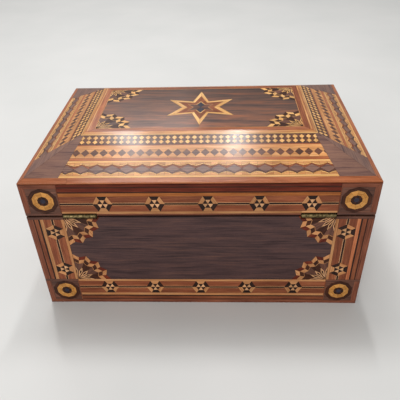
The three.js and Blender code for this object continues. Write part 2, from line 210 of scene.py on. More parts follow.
@dataclass(frozen=True)
class WoodFinish:
    """A polished timber under an old clear varnish.

    The colour runs in streaks along the grain, broken by fine open pores; the varnish gives an even,
    soft gloss that is a little rubbed.
    """

    name: str
    dark: str                     # colour of the late wood
    mid: str
    light: str                    # colour of the early wood
    streak: float = 0.9           # width of a grain streak, mm
    run: float = 26.0             # length of a streak, mm
    figure: float = 0.4           # share of the broad figure in the colour, 0 to 1
    figure_run: float = 45.0      # length of its clouds, mm
    figure_width: float = 5.0
    pore: float = 0.22            # width of a pore, mm, drawn coarser than a real one so that it shows
    pore_depth: float = 0.35      # how much a pore darkens the wood, 0 to 1
    spread: float = 0.16          # how much single pieces differ in brightness
    roughness: float = 0.5
    gloss: float = 0.1            # specular level: the old varnish has gone into the pores
    coat: float = 0.18            # how much of the varnish is left; the lid's upper side has more
    coat_roughness: float = 0.16
    on_face: bool = True          # False: the grain follows Object coordinates, for the plain boards
    turn: float = 0.0             # angle of a plain board's grain from x
    fade: tuple[float, float] = (0.0, 0.0)       # painted sheen: gain in brightness along the box's x and y, per metre
    dark_band_at: float = 0.0       # height of an edge that is darker in a band, mm; 0 for none

    WANDER = (30.0, 7.0)          # length and width of the bends in the grain, mm
    PORE_RUN = 16                 # a pore's length in widths
    PATINA = 24.0                 # size of a cloud of patina, mm
    RIPPLE = 9.0                  # size of a ripple in the varnish, mm
    DARK_BAND = "24140d"
    DARK_BAND_REACH = 1.1             # how far the darker band goes either side of its height, mm

    def _coordinates(self, pen: Shading) -> Socket:
        """Coordinates in metres with x along the grain."""
        if self.on_face:
            return pen.add("UVMap", uv_map="grain").outputs["UV"]
        return pen.add("Mapping", {"Vector": pen.object_place(),
                                   "Rotation": (0.0, 0.0, self.turn)}).outputs["Vector"]

    @staticmethod
    def _stretched(pen: Shading, place: Socket, length: float, width: float) -> Socket:
        """Coordinates that count lengths along the grain and widths across it, both given in mm."""
        scale = (1 / (length * MM), 1 / (width * MM), 1 / (width * MM))
        return pen.add("Mapping", {"Vector": place, "Scale": scale}).outputs["Vector"]

    def _grain(self, pen: Shading, place: Socket) -> tuple[Socket, Socket]:
        """The wandering streaks as a height, and the figured colour that they give."""
        wander = pen.noise(self._stretched(pen, place, *self.WANDER), 2.0).outputs["Color"]

        def bent(length: float, width: float, push: float) -> Socket:
            """Stretched coordinates that are pushed across the grain as it wanders."""
            pushed = pen.reckon_vector("MULTIPLY", wander, (0.0, push, 0.0)).outputs["Vector"]
            return pen.reckon_vector("ADD", self._stretched(pen, place, length, width),
                                     pushed).outputs["Vector"]

        streaks = pen.noise(bent(self.run, self.streak, 2.4), 4.0, roughness=0.62,
                            distortion=0.15).outputs["Fac"]
        clouds = pen.noise(bent(self.figure_run, self.figure_width, 1.3), 3.0,
                           roughness=0.55).outputs["Fac"]
        drawn = pen.add("Mix", {0: self.figure, 2: streaks, 3: clouds}, data_type="FLOAT").outputs[0]
        colour = pen.ramp(drawn, (0.34, linear(self.dark)), (0.50, linear(self.mid)),
                          (0.66, linear(self.light)))
        return streaks, colour

    def _toned(self, pen: Shading, colour: Socket, box_place: Socket, patina: Socket) -> Socket:
        """The colour with the single piece's brightness, the slow patina, the painted sheen gradient and the
        darker band at the seam.
        """
        tint = pen.add("Attribute", attribute_name="tint").outputs["Fac"]
        tinted = pen.carry(tint, (0.0, 1.0), (1 - self.spread, 1 + self.spread))
        value = pen.reckon("MULTIPLY", tinted, pen.carry(patina, (0.25, 0.75), (0.86, 1.12)))
        # painted sheen: a steady gain in brightness across the box, standing in for the varnish's reflection
        # of the lamps
        if any(self.fade):
            along = pen.reckon_vector("DOT_PRODUCT", box_place, (*self.fade, 0.0)).outputs["Value"]
            value = pen.reckon("MULTIPLY", value, pen.reckon("ADD", along, 1.0))
        toned = pen.add("HueSaturation", {"Value": value, "Color": colour}).outputs["Color"]
        # darker in a band round the given height: on the boards, the seam between lid and case
        if self.dark_band_at:
            height = pen.add("SeparateXYZ", {"Vector": box_place}).outputs["Z"]
            darkening = pen.reckon("COMPARE", height, self.dark_band_at * MM, self.DARK_BAND_REACH * MM)
            toned = pen.mix(darkening, toned, linear(self.DARK_BAND))
        return toned

    def _relief(self, pen: Shading, streaks: Socket, pores: Socket, box_place: Socket) -> Socket:
        """The varnish has sunk a little into grain and pores, and lies in slow ripples."""
        grained = pen.bump(streaks, 0.25, 0.03)
        pitted = pen.bump(pores, 0.3, 0.03, over=grained, sunk=True)
        ripple = pen.noise(box_place, 1.0, scale=1 / (self.RIPPLE * MM)).outputs["Fac"]
        return pen.bump(ripple, 0.5, 0.10, over=pitted)

    def make(self) -> bpy.types.Material:
        """Build the node material."""
        pen = Shading(self.name)
        place = self._coordinates(pen)
        streaks, colour = self._grain(pen, place)
        pitting = pen.noise(self._stretched(pen, place, self.pore * self.PORE_RUN, self.pore), 2.0)
        pores = pen.ramp(pitting.outputs["Fac"], (0.30, grey(1.0)), (0.42, grey(0.0)))
        soaked = pen.reckon("MULTIPLY", pores, self.pore_depth)
        pored = pen.mix(soaked, colour, linear(self.dark), "MULTIPLY")
        box_place = pen.object_place()
        patina = pen.noise(box_place, 3.0, scale=1 / (self.PATINA * MM)).outputs["Fac"]
        return pen.finish({
            "Base Color": self._toned(pen, pored, box_place, patina),
            "Roughness": pen.carry(patina, (0.3, 0.7), (self.roughness - 0.07, self.roughness + 0.1)),
            "IOR": 1.5, "Specular IOR Level": self.gloss, "Coat Weight": self.coat,
            "Coat Roughness": self.coat_roughness,
            "Normal": self._relief(pen, streaks, pores, box_place)})


class Wood(Enum):
    """What an inlaid piece is cut from, with the glue that shows between pieces."""

    ROSEWOOD = WoodFinish("rosewood", "2a1b1c", "493433", "5e4038", run=40.0, spread=0.05)
    # the upper side has faded in the light, and shows its figure more; it also grows lighter towards the
    # back, the hinged side, and a little towards the left: painted sheen, standing in for the varnish's
    # reflection of the lamps
    FADED_ROSEWOOD = WoodFinish("faded_rosewood", "3a2c2d", "6b4b3e", "985c3e", run=34.0, streak=1.6,
                                figure=0.55, figure_run=60.0, figure_width=8.0, spread=0.05,
                                fade=(-2.2, -9.5), coat=0.35)
    PLUM_ROSEWOOD = WoodFinish("plum_rosewood", "4c3334", "7b594d", "8e6855", run=34.0, spread=0.08,
                               coat=0.35)
    PADAUK = WoodFinish("padauk", "5a2a16", "82462c", "9e603c")
    # a lighter padauk: on the lid's slopes and the top's border its lightness is painted sheen, where the
    # varnish catches the lamps; on the pillars' high ends it is a redder light strip
    FADED_PADAUK = WoodFinish("faded_padauk", "80431f", "a75f3a", "c07c50", coat=0.35)
    MAHOGANY = WoodFinish("mahogany", "482216", "723f2c", "8a543c")
    BLOODWOOD = WoodFinish("bloodwood", "360f05", "5e1f0d", "74331c")
    # a darker copy of satinwood for the lid band's light stripe: partly a darker wood, partly painted shade,
    # as the band under the eaves gets less light
    CHERRY = WoodFinish("cherry", "86471f", "a9632f", "be7c48")
    PURPLEHEART = WoodFinish("purpleheart", "36201a", "5e3a2c", "764a38", coat=0.35)
    WALNUT = WoodFinish("walnut", "220f07", "3c1c0e", "522b1a")
    EBONY = WoodFinish("ebony", "140906", "26130c", "382018", pore_depth=0.2)
    MAPLE = WoodFinish("maple", "b87c3c", "dca562", "f2c488", pore_depth=0.12, streak=0.7, coat=0.35)
    SATINWOOD = WoodFinish("satinwood", "9a6232", "c68852", "daa670", pore_depth=0.15, coat=0.35)
    PEARWOOD = WoodFinish("pearwood", "8e5830", "b87e50", "cc9868", pore_depth=0.12, streak=0.7)
    HOLLY = WoodFinish("holly", "ac8050", "cc966a", "deb084", pore_depth=0.1, streak=0.7)
    BOXWOOD = WoodFinish("boxwood", "905a20", "bb803e", "ce9858", pore_depth=0.12, streak=0.7)
    GREYWOOD = WoodFinish("grey_dyed_holly", "1f1c26", "302c38", "423d4a", pore_depth=0.1)
    GLUE = WoodFinish("glue_line", "150e0a", "20150f", "2c1e16", coat=0.1, roughness=0.6)


class BoardGrain(Enum):
    """Which way the grain of a plain carcass board runs."""

    ALONG_X = 0.0
    ALONG_Y = math.pi / 2

    def finish(self) -> WoodFinish:
        """Plain sawn softwood, never varnished: dry, pale brown, with wide streaks, and darker in a band at
        the seam.
        """
        return WoodFinish("softwood_" + self.name.lower(), "7d5432", "a67a4e", "c09a6c", streak=2.4,
                          run=70.0, pore_depth=0.2, spread=0.0, roughness=0.62, coat=0.0, on_face=False,
                          turn=self.value, dark_band_at=seam_height())


@dataclass(frozen=True)
class AgedBrass:
    """Rolled brass with years of handling: dull gold where it is rubbed, brown-green in between."""

    name: str = "aged_brass"
    bright: str = "8c7b54"
    dull: str = "4a3e2a"
    patch: float = 2.2            # size of a tarnish patch, mm
    mark: float = 0.35            # size of a rolling mark, mm
    roughness: float = 0.42

    def make(self) -> bpy.types.Material:
        """Build the node material."""
        pen = Shading(self.name)
        place = pen.object_place()
        patches = pen.noise(place, 5.0, scale=1 / (self.patch * MM), roughness=0.6).outputs["Fac"]
        marks = pen.noise(place, 2.0, scale=1 / (self.mark * MM)).outputs["Fac"]
        return pen.finish({
            "Base Color": pen.ramp(patches, (0.36, linear(self.dull)), (0.66, linear(self.bright))),
            "Metallic": 1.0,
            "Roughness": pen.carry(patches, (0.3, 0.7), (self.roughness + 0.16, self.roughness - 0.08)),
            "Normal": pen.bump(marks, 0.35, 0.02)})


class Shelf:
    """Keeps one material for each finish, made when it is first asked for."""

    def __init__(self) -> None:
        """Start empty."""
        self._made: dict[str, bpy.types.Material] = {}

    def get(self, finish: WoodFinish | AgedBrass) -> bpy.types.Material:
        """The material of a finish."""
        if finish.name not in self._made:
            self._made[finish.name] = finish.make()
        return self._made[finish.name]


SHELF = Shelf()


# ---------------------------------------------------------------- laying inlay on a face


@dataclass(frozen=True)
class Face:
    """A flat outer face of the box: an origin on it, the way along it and the way up it."""

    origin: Vector                # metres
    along: Vector
    up: Vector

    def matrix(self) -> Matrix:
        """Takes millimetres on the face, with z outwards, to metres in the scene."""
        turn = Matrix((self.along, self.up, self.along.cross(self.up))).transposed().to_4x4()
        return Matrix.Translation(self.origin) @ turn @ Matrix.Scale(MM, 4)


@dataclass(frozen=True)
class Tessera:
    """One cut piece of wood, outlined in millimetres on its face."""

    outline: tuple[Point, ...]
    wood: Wood
    grain: float = 0.0            # degrees from the face's u axis


def area(outline: Sequence[Point]) -> float:
    """Signed area of an outline, positive when it runs anticlockwise."""
    pairs = zip(outline, list(outline[1:]) + [outline[0]])
    return sum(a[0] * b[1] - b[0] * a[1] for a, b in pairs) / 2


def clip(outline: Sequence[Point], start: Point, end: Point) -> list[Point]:
    """Trim a convex outline to the left-hand side of a line.

    Args:
        outline: the outline to trim.
        start: a point on the line.
        end: another, which gives its direction.

    Returns:
        The trimmed outline, empty when nothing is left.
    """
    along = (end[0] - start[0], end[1] - start[1])

    def side(p: Point) -> float:
        """Positive for a point to the left of the line."""
        return along[0] * (p[1] - start[1]) - along[1] * (p[0] - start[0])

    kept: list[Point] = []
    for a, b in zip(outline, [*outline[1:], *outline[:1]]):
        side_a, side_b = side(a), side(b)
        if side_a >= 0:
            kept.append(a)
        if side_a * side_b < 0:
            share = side_a / (side_a - side_b)
            kept.append((a[0] + share * (b[0] - a[0]), a[1] + share * (b[1] - a[1])))
    return kept


def polar(centre: Point, radius: float, degrees: float) -> Point:
    """A point at a radius and an angle from a centre."""
    angle = math.radians(degrees)
    return centre[0] + radius * math.cos(angle), centre[1] + radius * math.sin(angle)


class Mosaic:
    """A sheet of inlay: cut pieces of wood laid edge to edge on one face."""

    def __init__(self, name: str) -> None:
        """Start an empty sheet that will be called name."""
        self.name = name
        self.tesserae: list[Tessera] = []
        self.worn: list[tuple[Point, Point]] = []

    def lay(self, outline: Iterable[Point], wood: Wood, grain: float = 0.0) -> None:
        """Lay one piece; slivers that a trim has left are swept away."""
        points = list(outline)
        if len(points) < 3 or abs(area(points)) < SLIVER:
            return
        if area(points) < 0:
            points.reverse()
        self.tesserae.append(Tessera(tuple(points), wood, grain))

    def wear(self, start: Point, end: Point) -> None:
        """Round the arrises that lie on this line."""
        self.worn.append((start, end))

    def notch(self, low: Point, high: Point) -> None:
        """Cut a rectangle out of the sheet, splitting the pieces that it crosses."""
        kept: list[Tessera] = []
        for tessera in self.tesserae:
            us = [point[0] for point in tessera.outline]
            vs = [point[1] for point in tessera.outline]
            if max(us) <= low[0] or min(us) >= high[0] or max(vs) <= low[1] or min(vs) >= high[1]:
                kept.append(tessera)
                continue
            rest = list(tessera.outline)
            sides = (((low[0], 0.0), (low[0], 1.0)), ((high[0], 1.0), (high[0], 0.0)),
                     ((1.0, low[1]), (0.0, low[1])), ((0.0, high[1]), (1.0, high[1])))
            for start, end in sides:
                outside = clip(rest, start, end)
                rest = clip(rest, end, start)
                if len(outside) > 2 and abs(area(outside)) > SLIVER:
                    kept.append(Tessera(tuple(outside), tessera.wood, tessera.grain))
        self.tesserae = kept

    def _on_worn_line(self, edge: bmesh.types.BMEdge) -> bool:
        """Whether an edge lies along one of the worn lines."""
        for start, end in self.worn:
            along = Vector((end[0] - start[0], end[1] - start[1]))
            gaps = [abs(along.x * (v.co.y - start[1]) - along.y * (v.co.x - start[0])) / along.length
                    for v in edge.verts]
            if max(gaps) < ON_LINE:
                return True
        return False

    def _cut(self, bm: bmesh.types.BMesh, tessera: Tessera) -> list[bmesh.types.BMFace]:
        """Make one piece as an eased prism with its face at z = 0.

        Args:
            bm: the mesh that it is added to.
            tessera: the piece.

        Returns:
            The faces of the eased arris, which show the glue line.
        """
        base = bm.faces.new([bm.verts.new((u, v, -VENEER)) for u, v in tessera.outline])
        raised = bmesh.ops.extrude_face_region(bm, geom=[base])["geom"]
        top = next(item for item in raised if isinstance(item, bmesh.types.BMFace))
        bmesh.ops.translate(bm, verts=top.verts[:], vec=(0.0, 0.0, VENEER - EASE))
        arris = [edge for edge in top.edges if self.worn and self._on_worn_line(edge)]
        if arris:
            bmesh.ops.bevel(bm, geom=arris, offset=WORN, offset_type="OFFSET", segments=3, profile=0.5,
                            affect="EDGES", material=-1)
            tops = {face for vert in base.verts for edge in vert.link_edges for face in edge.link_faces}
            island = self._island(tops)
            # everything level with the prism's top, which stands one easing under the face
            flat = [face for face in island if face.calc_center_median().z > -EASE * 1.2]
            return bmesh.ops.inset_individual(bm, faces=flat, thickness=EASE, depth=EASE,
                                              use_even_offset=True)["faces"]
        return bmesh.ops.inset_individual(bm, faces=[top], thickness=EASE, depth=EASE,
                                          use_even_offset=True)["faces"]

    @staticmethod
    def _island(seeds: Iterable[bmesh.types.BMFace]) -> set[bmesh.types.BMFace]:
        """All the faces that hang together with some of them."""
        island = set(seeds)
        fresh = list(island)
        while fresh:
            face = fresh.pop()
            for edge in face.edges:
                for other in edge.link_faces:
                    if other not in island:
                        island.add(other)
                        fresh.append(other)
        return island

    def build(self, face: Face, body: str, slot: str, nodes: Sequence[str]) -> bpy.types.Object:
        """Cut every piece, stand the sheet on its face and hand it to the frame.

        Args:
            face: where the sheet lies.
            body: the CAD body that it rides on.
            slot: the record's material slot that it stands for; passed on, but not used.
            nodes: the CAD nodes that it replaces.

        Returns:
            The finished object.
        """
        rng = random.Random(self.name)
        woods = sorted({t.wood for t in self.tesserae} | {Wood.GLUE}, key=lambda wood: wood.value.name)
        bm = bmesh.new()
        grain_map = bm.loops.layers.uv.new("grain")
        tint = bm.faces.layers.float.new("tint")
        for tessera in self.tesserae:
            before = len(bm.faces)
            glue = set(self._cut(bm, tessera))
            bm.faces.ensure_lookup_table()
            shade = rng.random()
            shift = Vector((rng.uniform(0, 2), rng.uniform(0, 2)))
            cos = math.cos(math.radians(tessera.grain))
            sin = math.sin(math.radians(tessera.grain))
            for piece in self._island(bm.faces[before:before + 1]):
                piece.material_index = woods.index(Wood.GLUE if piece in glue else tessera.wood)
                piece[tint] = shade
                for loop in piece.loops:
                    u, v, z = loop.vert.co
                    loop[grain_map].uv = Vector((u * cos + v * sin, v * cos - u * sin + z)) * MM + shift
        bmesh.ops.recalc_face_normals(bm, faces=bm.faces[:])
        bmesh.ops.transform(bm, matrix=face.matrix(), verts=bm.verts[:])
        return finish_piece(self.name, bm, [SHELF.get(wood.value) for wood in woods], body, slot, nodes)


def finish_piece(name: str, bm: bmesh.types.BMesh, materials: Sequence[bpy.types.Material], body: str,
                 slot: str, nodes: Sequence[str]) -> bpy.types.Object:
    """Turn a bmesh into a scene object that rides on a body.

    Args:
        name: the object's name.
        bm: its mesh, in metres in the frame, which is freed.
        materials: its material slots, in order.
        body: the CAD body that it rides on.
        slot: not used.
        nodes: the CAD nodes that it replaces.

    Returns:
        The object.
    """
    mesh = bpy.data.meshes.new(name)
    bm.to_mesh(mesh)
    bm.free()
    for material in materials:
        mesh.materials.append(material)
    piece = bpy.data.objects.new(name, mesh)
    bpy.context.scene.collection.objects.link(piece)
    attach(piece, body)
    if nodes:
        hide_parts(*nodes)
    LOG.info("%s: %d faces, rides on %s", name, len(mesh.polygons), body)
    return piece


# ---------------------------------------------------------------- motifs


@dataclass(frozen=True)
class HexagonStar:
    """A hexagon of six wedges, each cut across into a trapezoid and a triangle of the other colour."""

    apothem: float = 7.0
    core: float = 3.65            # apothem of the inner hexagon
    squeeze: float = 0.95         # its length along the banding, against a regular hexagon's
    light: Wood = Wood.PEARWOOD
    heart: Wood = Wood.HOLLY      # the light triangles round the middle

    @property
    def radius(self) -> float:
        """From the middle to a corner."""
        return self.apothem / math.cos(math.pi / 6)

    def lay(self, sheet: Mosaic, centre: Point, towards: float) -> None:
        """Lay the star.

        Args:
            sheet: the sheet that it is laid in.
            centre: its middle.
            towards: the direction, in degrees, of its first light trapezoid: the panel's side.
        """
        inner = self.core / math.cos(math.pi / 6)
        turn = math.radians(towards)
        across = (math.cos(turn), math.sin(turn))

        def corner(radius: float, degrees: float) -> Point:
            """A point of the star, squeezed along the banding but not across it."""
            u, v = polar((0.0, 0.0), radius, degrees)
            rise = u * across[0] + v * across[1]
            return (centre[0] + self.squeeze * u + (1 - self.squeeze) * rise * across[0],
                    centre[1] + self.squeeze * v + (1 - self.squeeze) * rise * across[1])

        for wedge in range(6):
            middle = towards + 60 * wedge
            low, high = middle - 30, middle + 30
            outer_wood, inner_wood = (self.light, Wood.EBONY) if wedge % 2 == 0 else (Wood.EBONY, self.heart)
            sheet.lay([corner(inner, low), corner(self.radius, low), corner(self.radius, high),
                       corner(inner, high)], outer_wood, middle + 90)
            sheet.lay([centre, corner(inner, low), corner(inner, high)], inner_wood, middle)


@dataclass(frozen=True)
class Strip:
    """One lengthwise strip of a banding."""

    width: float
    wood: Wood
    in_channel: bool = False      # True: it stops at the stars instead of passing beside them


# from the box's outer edge towards the panel, as on the upright pillars
PILLAR_STRIPS = (
    Strip(4.8, Wood.MAHOGANY), Strip(0.9, Wood.WALNUT), Strip(3.1, Wood.PADAUK),
    Strip(1.2, Wood.EBONY), Strip(2.8, Wood.PEARWOOD),
    Strip(5.8, Wood.PADAUK, True), Strip(0.45, Wood.HOLLY, True), Strip(1.5, Wood.EBONY, True),
    Strip(0.45, Wood.HOLLY, True), Strip(5.8, Wood.PADAUK, True),
    Strip(2.2, Wood.PEARWOOD),
)
OUTER_LIGHT = 4                   # which of them is the light strip outside the channel
CHANNEL = slice(5, 10)            # which of them make the channel


@dataclass
class Banding:
    """A glued-up banding: strips along its length with hexagon stars let into its middle channel."""

    strips: Sequence[Strip]
    place: Place                  # (along, across from the outer edge) to a point on the face
    grain: float                  # direction of its length on the face, degrees
    towards: float                # direction of the panel on the face, degrees
    stars: Sequence[float]        # where the stars stand, along its length
    star: HexagonStar = field(default_factory=HexagonStar)

    def _channel_middle(self) -> float:
        """Distance of the stars' line from the outer edge."""
        across = 0.0
        span: list[float] = []
        for strip in self.strips:
            if strip.in_channel:
                span += [across, across + strip.width]
            across += strip.width
        return (min(span) + max(span)) / 2

    def _end(self, star: float | None, stop: float, sign: int, low: float, high: float,
             middle: float) -> list[Point]:
        """The end of a strip that runs to a star, or to the banding's own end.

        Args:
            star: the star that it meets, or None.
            stop: the banding's end, used where there is no star.
            sign: +1 when the star lies beyond the strip's high end, -1 before its low end.
            low: the strip's near edge across the banding.
            high: its far edge.
            middle: the stars' line.

        Returns:
            The end's points from the near edge to the far edge.
        """
        if star is None:
            return [(stop, low), (stop, high)]
        levels = [low, high] if not low < middle < high else [low, middle, high]
        reach = [self.star.squeeze * (self.star.radius - abs(level - middle) / math.sqrt(3))
                 for level in levels]
        return [(star - sign * distance, level) for distance, level in zip(reach, levels)]

    def lay(self, sheet: Mosaic, start: float, stop: float) -> None:
        """Lay the banding between two places along its length."""
        middle = self._channel_middle()
        across = 0.0
        for strip in self.strips:
            low, high = across, across + strip.width
            across = high
            breaks: list[float | None] = [None, *self.stars, None] if strip.in_channel else [None, None]
            for before, after in zip(breaks, breaks[1:]):
                left = self._end(before, start, -1, low, high, middle)
                right = self._end(after, stop, 1, low, high, middle)
                outline = left[::-1] + right
                sheet.lay([self.place(*point) for point in outline], strip.wood, self.grain)
        for place in self.stars:
            self.star.lay(sheet, self.place(place, middle), self.towards)


@dataclass(frozen=True)
class FanWoods:
    """What a fan is made of, apart from the dark pieces that every fan has."""

    light: Wood                   # light halves of the chevrons
    leaf: Wood                    # outlines of the leaves
    outer_dark: Wood              # dark halves of the outer chevrons


SIDE_FANS = FanWoods(Wood.PEARWOOD, Wood.HOLLY, Wood.BLOODWOOD)
TOP_FANS = FanWoods(Wood.MAPLE, Wood.MAPLE, Wood.WALNUT)


@dataclass(frozen=True)
class ChevronRow:
    """Radii of a row of chevrons, on the spokes and midway between them."""

    spoke_in: float
    spoke_out: float
    mid_in: float
    mid_out: float


@dataclass(frozen=True)
class Fan:
    """A quarter sunburst in the corner of a panel.

    Its spokes stand every 22.5 degrees.  Thin leaves outlined in light wood open from the corner, and two
    rows of chevrons, each half light and half dark, stand round them like shaded points.
    """

    corner: Point
    x_sign: int
    y_sign: int
    woods: FanWoods
    light_past_spoke: bool        # which half of an outer chevron is the light one
    leaf_tip: float = 14.8
    leaf_root: float = 1.6
    leaf_waist: float = 9.6       # radius at which a leaf is widest
    leaf_half: float = 1.5        # half its width there
    leaf_line: float = 0.8        # width of the light outline
    inner_row: ChevronRow = ChevronRow(20.0, 24.2, 18.0, 22.0)
    outer_row: ChevronRow = ChevronRow(24.2, 28.5, 22.0, 25.4)
    light_line: float = 0.5       # along the inner edge of the inner row's dark halves

    SPOKE = 22.5                  # degrees between spokes
    HALF = SPOKE / 2
    LEANS = (-20, 25)             # grain of the chevrons' halves past and before a spoke, from the spoke
    LINE_LEAN = 60

    def at(self, radius: float, degrees: float, across: float = 0.0) -> Point:
        """A point of the fan at a distance across a radius, turned into its corner."""
        x, y = polar(polar((0.0, 0.0), radius, degrees), across, degrees + 90)
        return self.corner[0] + self.x_sign * x, self.corner[1] + self.y_sign * y

    def grain(self, degrees: float) -> float:
        """A direction of the fan as a grain direction on the face."""
        return degrees * self.x_sign * self.y_sign

    def rim(self) -> list[Point]:
        """The zigzag outline, from the edge along u to the edge along v."""
        radii = (self.outer_row.spoke_out, self.outer_row.mid_out)
        return [self.at(radii[step % 2], step * self.HALF) for step in range(9)]

    def _row(self, sheet: Mosaic, row: ChevronRow, light_first: bool, dark: Wood, line: float) -> None:
        """One row of chevrons.

        Args:
            sheet: the sheet of inlay.
            row: the row's radii.
            light_first: whether the half just past each spoke is the light one.
            dark: the dark halves' wood.
            line: width of a light line along the dark halves' inner edge, 0 for none.
        """
        for step in range(8):
            past_spoke = step % 2 == 0
            spoke = (step if past_spoke else step + 1) * self.HALF
            mid = (step + 1 if past_spoke else step) * self.HALF
            light = past_spoke == light_first
            inset = 0.0 if light else line
            root = [self.at(row.mid_in + inset, mid), self.at(row.spoke_in + inset, spoke)]
            lean = spoke + self.LEANS[0 if past_spoke else 1]
            sheet.lay([*root, self.at(row.spoke_out, spoke), self.at(row.mid_out, mid)],
                      self.woods.light if light else dark, self.grain(lean))
            if inset:
                sheet.lay([self.at(row.mid_in, mid), self.at(row.spoke_in, spoke), *root[::-1]],
                          self.woods.light, self.grain(spoke + self.LINE_LEAN))

    def _leaf(self, sheet: Mosaic, spoke: float, sides: Sequence[int]) -> None:
        """A leaf on a spoke, whole or only its half on one side.

        Args:
            sheet: the sheet of inlay.
            spoke: the spoke's angle, degrees.
            sides: -1 and 1 for a whole leaf, one of them for a half.
        """
        core_half = self.leaf_half - self.leaf_line
        shrink = core_half / self.leaf_half
        inner_root = self.at(self.leaf_waist - (self.leaf_waist - self.leaf_root) * shrink, spoke)
        inner_tip = self.at(self.leaf_waist + (self.leaf_tip - self.leaf_waist) * shrink, spoke)
        edges = [self.at(self.leaf_waist, spoke, side * core_half) for side in sides]
        for side, edge in zip(sides, edges):
            waist = self.at(self.leaf_waist, spoke, side * self.leaf_half)
            sheet.lay([self.at(self.leaf_root, spoke), waist, edge, inner_root], self.woods.leaf,
                      self.grain(spoke))
            sheet.lay([waist, self.at(self.leaf_tip, spoke), inner_tip, edge], self.woods.leaf,
                      self.grain(spoke))
        sheet.lay([inner_root, edges[0], inner_tip, *edges[1:]], Wood.EBONY, self.grain(spoke))

    def _ground(self, sheet: Mosaic) -> None:
        """The dark wedges between neighbouring leaves."""
        spoke_in, mid_in = self.inner_row.spoke_in, self.inner_row.mid_in
        for step in range(4):
            low, high = step * self.SPOKE, (step + 1) * self.SPOKE
            outline = [self.at(self.leaf_root, low), self.at(self.leaf_waist, low, self.leaf_half),
                       self.at(self.leaf_tip, low), self.at(spoke_in, low),
                       self.at(mid_in, low + self.HALF), self.at(spoke_in, high),
                       self.at(self.leaf_tip, high), self.at(self.leaf_waist, high, -self.leaf_half),
                       self.at(self.leaf_root, high)]
            sheet.lay(outline, Wood.PURPLEHEART if step % 2 else Wood.WALNUT, self.grain(low + self.HALF))

    def lay(self, sheet: Mosaic) -> None:
        """Lay every piece of the fan, inside the zigzag that the panel's field keeps free for it."""
        for step in range(5):
            sides = {0: [1], 4: [-1]}.get(step, [-1, 1])
            self._leaf(sheet, step * self.SPOKE, sides)
        self._ground(sheet)
        self._row(sheet, self.inner_row, not self.light_past_spoke, Wood.WALNUT, self.light_line)
        self._row(sheet, self.outer_row, self.light_past_spoke, self.woods.outer_dark, 0.0)


def panel_fans(low: Point, high: Point, woods: FanWoods, light_past_spoke: bool) -> list[Fan]:
    """The four fans of a panel, anticlockwise from its low corner."""
    corners = ((low, 1, 1), ((high[0], low[1]), -1, 1), (high, -1, -1), ((low[0], high[1]), 1, -1))
    return [Fan(*corner, woods, light_past_spoke) for corner in corners]


@dataclass(frozen=True)
class Roundel:
    """A ten-sided ring of light wood in a square dark block."""

    centre: Point
    collar: float = 11.6          # radius of the dark collar round the ring
    ring: float = 8.6
    eye: float = 4.3
    pupil: float = 2.1
    SIDES = 10

    def _hoop(self, sheet: Mosaic, outer: float, inner: float, woods: Sequence[Wood]) -> None:
        """A ring of ten pieces that take the given woods in turn."""
        step = 360 / self.SIDES
        for side in range(self.SIDES):
            low, high = 90 + side * step, 90 + (side + 1) * step
            sheet.lay([polar(self.centre, inner, low), polar(self.centre, outer, low),
                       polar(self.centre, outer, high), polar(self.centre, inner, high)],
                      woods[side % len(woods)], (low + high) / 2 + 90)

    def lay(self, sheet: Mosaic, low: Point, high: Point) -> None:
        """Lay the roundel and fill its block.

        Args:
            sheet: the sheet of inlay.
            low: the block's low corner.
            high: its high corner.
        """
        self._hoop(sheet, self.collar, self.ring, [Wood.WALNUT])
        self._hoop(sheet, self.ring, self.eye, [Wood.BOXWOOD])
        self._hoop(sheet, self.eye, self.pupil, [Wood.WALNUT, Wood.EBONY])
        step = 360 / self.SIDES
        sheet.lay([polar(self.centre, self.pupil, 90 + side * step) for side in range(self.SIDES)],
                  Wood.GREYWOOD, 20)
        u, v = self.centre
        flat = self.collar * math.cos(math.pi / self.SIDES)
        for x_edge, x_sign in ((high[0], 1), (low[0], -1)):
            for y_edge, y_sign in ((high[1], 1), (low[1], -1)):
                arc = [(x_sign * math.cos(math.radians(a)), y_sign * math.sin(math.radians(a)))
                       for a in (90, 54, 18)]
                outline = [(u, y_edge), *((u + self.collar * x, v + self.collar * y) for x, y in arc),
                           (u + x_sign * flat, v), (x_edge, v), (x_edge, y_edge)]
                sheet.lay(outline, Wood.PURPLEHEART, 0)


# ---------------------------------------------------------------- the box's sides


